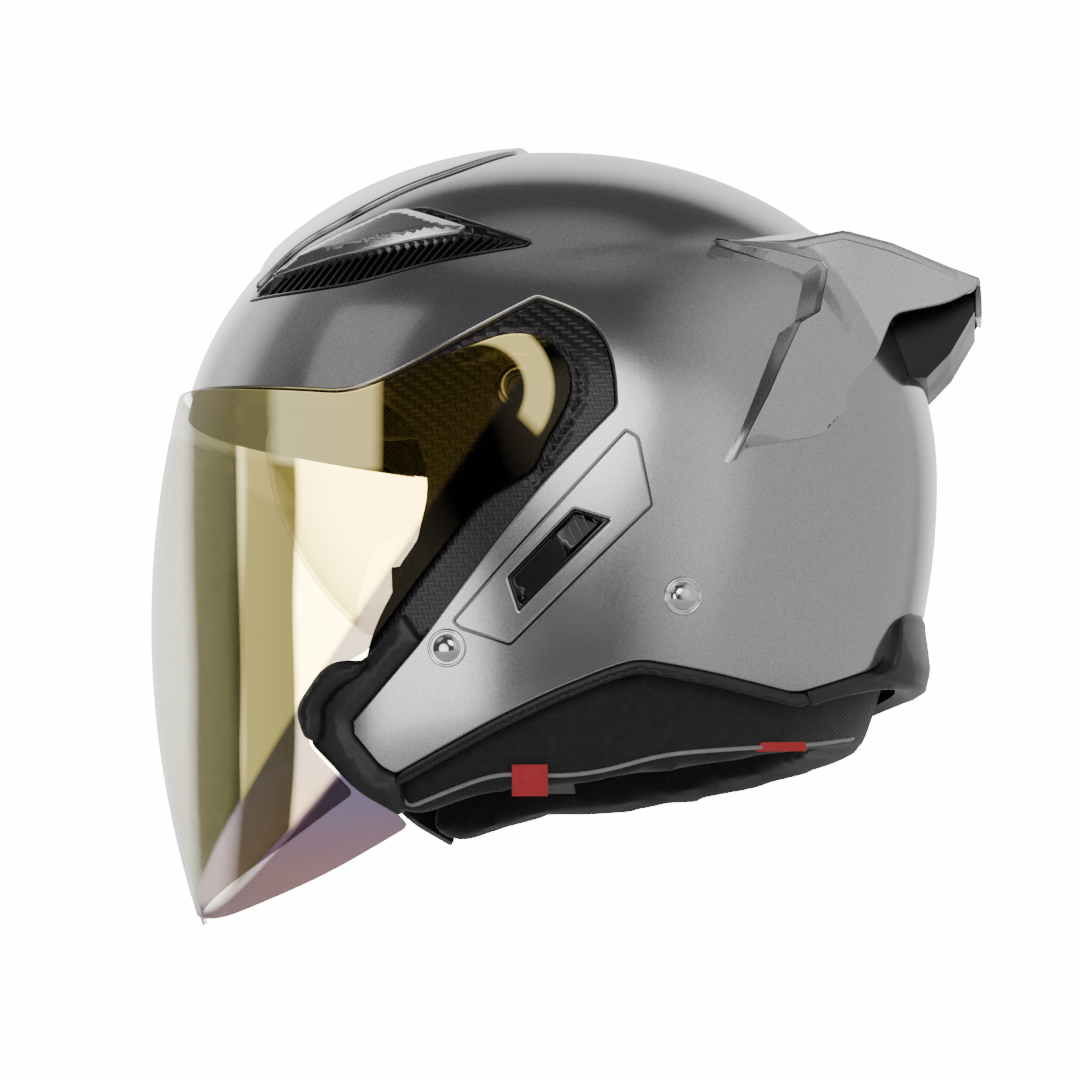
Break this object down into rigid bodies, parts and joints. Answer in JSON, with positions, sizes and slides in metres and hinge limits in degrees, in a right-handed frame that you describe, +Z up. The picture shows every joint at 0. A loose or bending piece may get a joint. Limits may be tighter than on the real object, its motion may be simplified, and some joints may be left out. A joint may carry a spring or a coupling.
{
  "type": "open face motorcycle helmet",
  "caption": "Open face motorcycle helmet with a long flip-up mirrored visor, drop-down sun visor, air scoops, rear spoiler and padded lining.",
  "frame": {"origin": "centre of the space for the head, on the mid plane, 102 mm under the inside of the crown", "axes": "+Z up, -Y the way the wearer looks, +X to the wearer's left"},
  "size_m": [0.2532, 0.3236, 0.3009],
  "materials": {
    "shell_paint": "gloss clear coat over silver metallic",
    "satin_trim": "satin black moulded",
    "carbon_plate": "satin black with a woven look",
    "vent_black": "semi gloss black",
    "visor_lens": "clear lens with a gold mirror coat",
    "sun_lens": "smoked clear",
    "liner_fabric": "black knitted lining",
    "impact_foam": "dark expanded bead foam",
    "rubber_trim": "matt black",
    "rivet_chrome": "polished",
    "dark_steel": "zinc plated",
    "webbing": "woven black webbing",
    "red_tab": "red woven tape"
  },
  "bodies": {
    "shell": {"outer_shell": "shell_paint", "eps_liner": "impact_foam", "crown_pad": "liner_fabric", "neck_roll": "liner_fabric", "brow_gasket": "rubber_trim", "rear_trim": "satin_trim", "base_plate_screws": "dark_steel", "sun_visor_pins": "dark_steel", "sun_visor_cable": "dark_steel", "top_vent_cover": "shell_paint", "rear_spoiler": "shell_paint", "rear_diffuser": "vent_black", "strap_rivets": "rivet_chrome", "strap_left": "webbing", "strap_right": "webbing", "buckle_housing": "satin_trim", "ladder_strap": "satin_trim", "lever_pin": "dark_steel", "pull_tabs": "red_tab", "cheek_foam_left": "impact_foam", "cheek_foam_right": "impact_foam", "cheek_pad_left": "liner_fabric", "cheek_pad_right": "liner_fabric", "front_trim_left": "satin_trim", "front_trim_right": "satin_trim", "side_trim_left": "satin_trim", "side_trim_right": "satin_trim", "base_plate_left": "carbon_plate", "base_plate_right": "carbon_plate", "detent_spring_left": "dark_steel", "detent_spring_right": "dark_steel", "side_plate_left": "shell_paint", "side_plate_right": "shell_paint", "slider_tray_left": "vent_black", "slider_tray_right": "vent_black", "brow_scoop_left": "carbon_plate", "brow_scoop_right": "carbon_plate", "brow_blade_left": "shell_paint", "brow_blade_right": "shell_paint", "spoiler_leg_left": "shell_paint", "spoiler_leg_right": "shell_paint"},
    "visor": {"visor_lens": "visor_lens", "visor_tab": "rubber_trim", "visor_hub_left": "satin_trim", "visor_hub_right": "satin_trim"},
    "sun_visor": {"sun_visor": "sun_lens"},
    "sun_visor_slider": {"sun_visor_slider": "vent_black"},
    "ear_vent_slider": {"ear_vent_slider": "vent_black"},
    "top_vent_slider": {"top_vent_slider": "vent_black"},
    "release_latch_left": {"release_latch_left": "satin_trim"},
    "release_latch_right": {"release_latch_right": "satin_trim"},
    "release_lever": {"release_lever": "red_tab"}
  },
  "joints": [
    {"name": "visor_hinge", "type": "hinge", "parent": "shell", "child": "visor", "pos_m": [0, -0.01, 0.036], "axis": [-1, 0, 0], "range_deg": [0, 78]},
    {"name": "sun_visor_hinge", "type": "hinge", "parent": "shell", "child": "sun_visor", "pos_m": [0, -0.015, 0.035], "axis": [-1, 0, 0], "range_deg": [0, 50]},
    {"name": "sun_visor_slide", "type": "slide", "parent": "shell", "child": "sun_visor_slider", "axis": [0, -0.698, -0.7161], "range_m": [0, 0.0181]},
    {"name": "ear_vent_slide", "type": "slide", "parent": "shell", "child": "ear_vent_slider", "axis": [0, -0.698, -0.7161], "range_m": [0, 0.018]},
    {"name": "top_vent_slide", "type": "slide", "parent": "shell", "child": "top_vent_slider", "axis": [0, -0.944, -0.33], "range_m": [0, 0.006]},
    {"name": "release_latch_slide_left", "type": "slide", "parent": "shell", "child": "release_latch_left", "axis": [0, -0.7417, -0.6707], "range_m": [0, 0.0035], "stiffness_N_per_m": 120, "springref_m": -0.001},
    {"name": "release_latch_slide_right", "type": "slide", "parent": "shell", "child": "release_latch_right", "axis": [0, -0.7417, -0.6707], "range_m": [0, 0.0035], "stiffness_N_per_m": 120, "springref_m": -0.001},
    {"name": "release_lever_hinge", "type": "hinge", "parent": "shell", "child": "release_lever", "pos_m": [0.03098, -0.008, -0.09697], "axis": [0, -1, 0], "range_deg": [0, 35], "stiffness_Nm_per_rad": 0.05, "springref_deg": -5.73}
  ],
  "couplings": [
    {"joint": "sun_visor_slide", "follows": "sun_visor_hinge", "m_per_rad": 0.020626}
  ]
}
